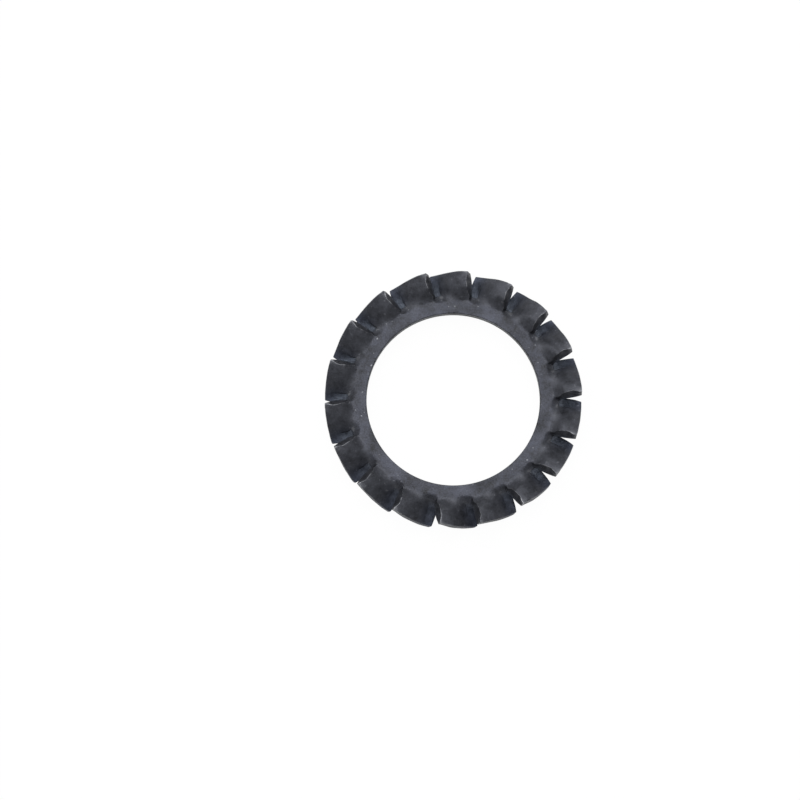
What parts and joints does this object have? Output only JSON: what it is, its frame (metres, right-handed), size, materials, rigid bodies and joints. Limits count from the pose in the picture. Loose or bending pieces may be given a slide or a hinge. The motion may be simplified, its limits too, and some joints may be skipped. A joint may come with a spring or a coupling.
{
  "type": "toothed lock washer",
  "caption": "Flat steel ring with a ring of twisted, overlapping teeth round its outer rim, which bite into screw head and workpiece to stop a screw working loose.",
  "frame": {"origin": "centre of the bore, at half the thickness of the sheet", "axes": "+Z along the bore axis; seen from +Z each tooth's clockwise edge is the raised one. +X lies 10.8 degrees clockwise of a tooth's middle line"},
  "size_m": [0.0258, 0.0258, 0.0036],
  "materials": {
    "phosphated_steel": "hardened spring steel with a thin matt black phosphate finish, burnished along its sheared edges"
  },
  "bodies": {
    "root": {"toothed_washer": "phosphated_steel"}
  },
  "joints": []
}
